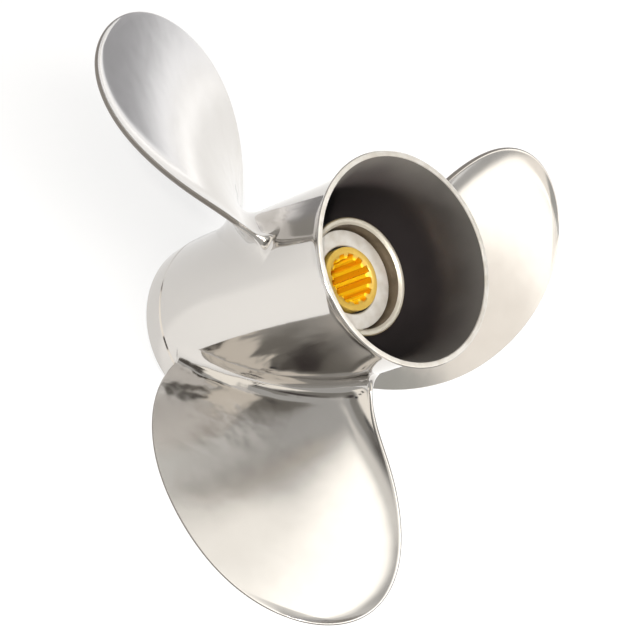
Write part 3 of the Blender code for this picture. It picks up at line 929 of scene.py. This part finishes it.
def black_rubber():
    """Dull rubber with a fine grain and a trace of dust."""
    material, tree, shader = new_material("black_rubber", RUBBER_DARK, 0, 0.62)
    grain = mottle(tree, 0.5, detail=3, seed=17)
    dust = mottle(tree, 6, detail=3, seed=19)
    tint(tree, shader, dust.sharpened(3), RUBBER_DARK, RUBBER_DUST)
    roughen(tree, shader, grain.swing(0.2))
    emboss(tree, shader, (grain, 0.03))
    return material


def shaded_recess_casting():
    """The unpolished wall of the recess, brown and slightly rough, its dark tone partly painted
    shade of the recess.
    """
    material, tree, shader = new_material("shaded_recess_casting", CASTING_DARK, 0.3, 0.58)
    grain = mottle(tree, 0.9, detail=4, seed=21)
    stain = mottle(tree, 5, detail=3, seed=23)
    tint(tree, shader, stain.sharpened(2.5), CASTING_DARK, CASTING_LIGHT)
    roughen(tree, shader, grain.swing(0.25))
    emboss(tree, shader, (grain, 0.06))
    return material


def camera():
    data = bpy.data.cameras.new("camera")
    data.lens = CAMERA_LENS
    data.sensor_width = CAMERA_SENSOR
    data.clip_start, data.clip_end = CAMERA_RANGE
    eye = new_object("camera", data)
    tilt = Matrix.Rotation(math.pi / 2 - CAMERA_ELEVATION, 4, "X")
    turn = Matrix.Rotation(CAMERA_AZIMUTH, 4, "Z") @ tilt
    back = turn.to_3x3() @ Vector((0, 0, 1))
    place = Matrix.Translation(CAMERA_TARGET + back * CAMERA_DISTANCE)
    eye.matrix_world = place @ turn @ Matrix.Rotation(CAMERA_ROLL, 4, "Z")
    bpy.context.scene.camera = eye


def floor():
    """A pale lit table."""
    bm = bmesh.new()
    bmesh.ops.create_grid(bm, x_segments=1, y_segments=1, size=FLOOR_HALF)
    mesh = bpy.data.meshes.new("floor")
    bm.to_mesh(mesh)
    bm.free()
    material, _, shader = new_material("pale_floor", TABLE_TONE, 0, 0.8)
    shader.inputs["Emission Color"].default_value = (1, 1, 1, 1)
    shader.inputs["Emission Strength"].default_value = TABLE_GLOW
    mesh.materials.append(material)
    plane = new_piece("floor", mesh)
    plane.location.z = -FLOOR_DROP


def vector_math(tree, operation, *values):
    node = add_node(tree, "ShaderNodeVectorMath", operation=operation)
    for value, slot in zip(values, node.inputs):
        feed(tree, value, slot)
    return node.outputs[0]


def soft_card(tree, angles, middle, half, edge):
    """How much of a direction a card with soft edges fills."""
    off = vector_math(tree, "SUBTRACT", angles, (*middle, 0))
    off = vector_math(tree, "WRAP", off, (180, 180, 1), (-180, -180, -1))
    off = vector_math(tree, "ABSOLUTE", off)
    fill = add_node(
        tree, "ShaderNodeMapRange", {"Vector": off},
        data_type="FLOAT_VECTOR", interpolation_type="SMOOTHSTEP",
    )
    fill.inputs[RANGE_START].default_value = (half[0] + edge / 2, half[1] + edge / 2, 1)
    fill.inputs[RANGE_END].default_value = (half[0] - edge / 2, half[1] - edge / 2, 0)
    across, up, _ = split(tree, fill.outputs[RANGE_RESULT])
    return across * up


def lights():
    """A room of soft cards round the part. Azimuth is 0 towards the camera and 90 towards +X."""
    world = bpy.data.worlds.new("studio")
    bpy.context.scene.world = world
    world.use_nodes = True
    tree = world.node_tree
    x, y, z = split(tree, add_node(tree, "ShaderNodeTexCoord").outputs["Generated"])
    azimuth = x.apply("ARCTAN2", -y) * (180 / math.pi)
    elevation = z.at_least(-1).at_most(1).apply("ARCSINE") * (180 / math.pi)
    angles = combine(tree, azimuth, elevation, 0)
    colour = combine(tree, *ROOM_COLOUR)
    for name, middle, half, edge, light in STUDIO_CARDS:
        mix = add_node(tree, "ShaderNodeMix", data_type="VECTOR", label=name)
        feed(tree, soft_card(tree, angles, middle, half, edge), mix.inputs["Factor"])
        tree.links.new(colour, mix.inputs[VECTOR_A])
        mix.inputs[VECTOR_B].default_value = light
        colour = mix.outputs[VECTOR_MIXED]
    tree.links.new(colour, tree.nodes["Background"].inputs["Color"])


def lamps():
    """A narrow soft spot down on the bushing, two that brighten the table behind and before the
    part, and one from the right whose light on the table shows in the barrel."""
    for name, place, target, watts, tone, cone, blend, size, mirrored in LAMPS:
        data = bpy.data.lights.new(name, "SPOT")
        data.energy = watts
        data.color = tone
        data.spot_size = math.radians(cone)
        data.spot_blend = blend
        data.shadow_soft_size = size
        light = new_object(name, data)
        light.visible_glossy = mirrored
        back = Vector(place) - Vector(target)
        turn = back.to_track_quat("Z", "Y").to_matrix().to_4x4()
        light.matrix_world = Matrix.Translation(place) @ turn


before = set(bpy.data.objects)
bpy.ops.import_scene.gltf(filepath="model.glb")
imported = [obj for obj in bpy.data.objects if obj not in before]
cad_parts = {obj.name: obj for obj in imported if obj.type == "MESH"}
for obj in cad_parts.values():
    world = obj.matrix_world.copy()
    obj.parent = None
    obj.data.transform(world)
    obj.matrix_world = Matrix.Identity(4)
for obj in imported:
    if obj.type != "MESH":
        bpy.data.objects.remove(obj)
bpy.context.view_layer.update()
steel = polished_stainless()
turned_steel = machined_steel()
paint = black_paint()
blades(steel)
barrel(steel, turned_steel)
bore_coat(paint)
ribs(paint)
inner_hub(hub_ring_steel(), paint, shaded_recess_casting())
rubber = black_rubber()
bushing_shell(turned_steel, rubber)
bushing_rubber(rubber)
brass_sleeve(yellow_brass())
floor()
lights()
lamps()
camera()
bpy.context.scene.view_settings.view_transform = "Standard"
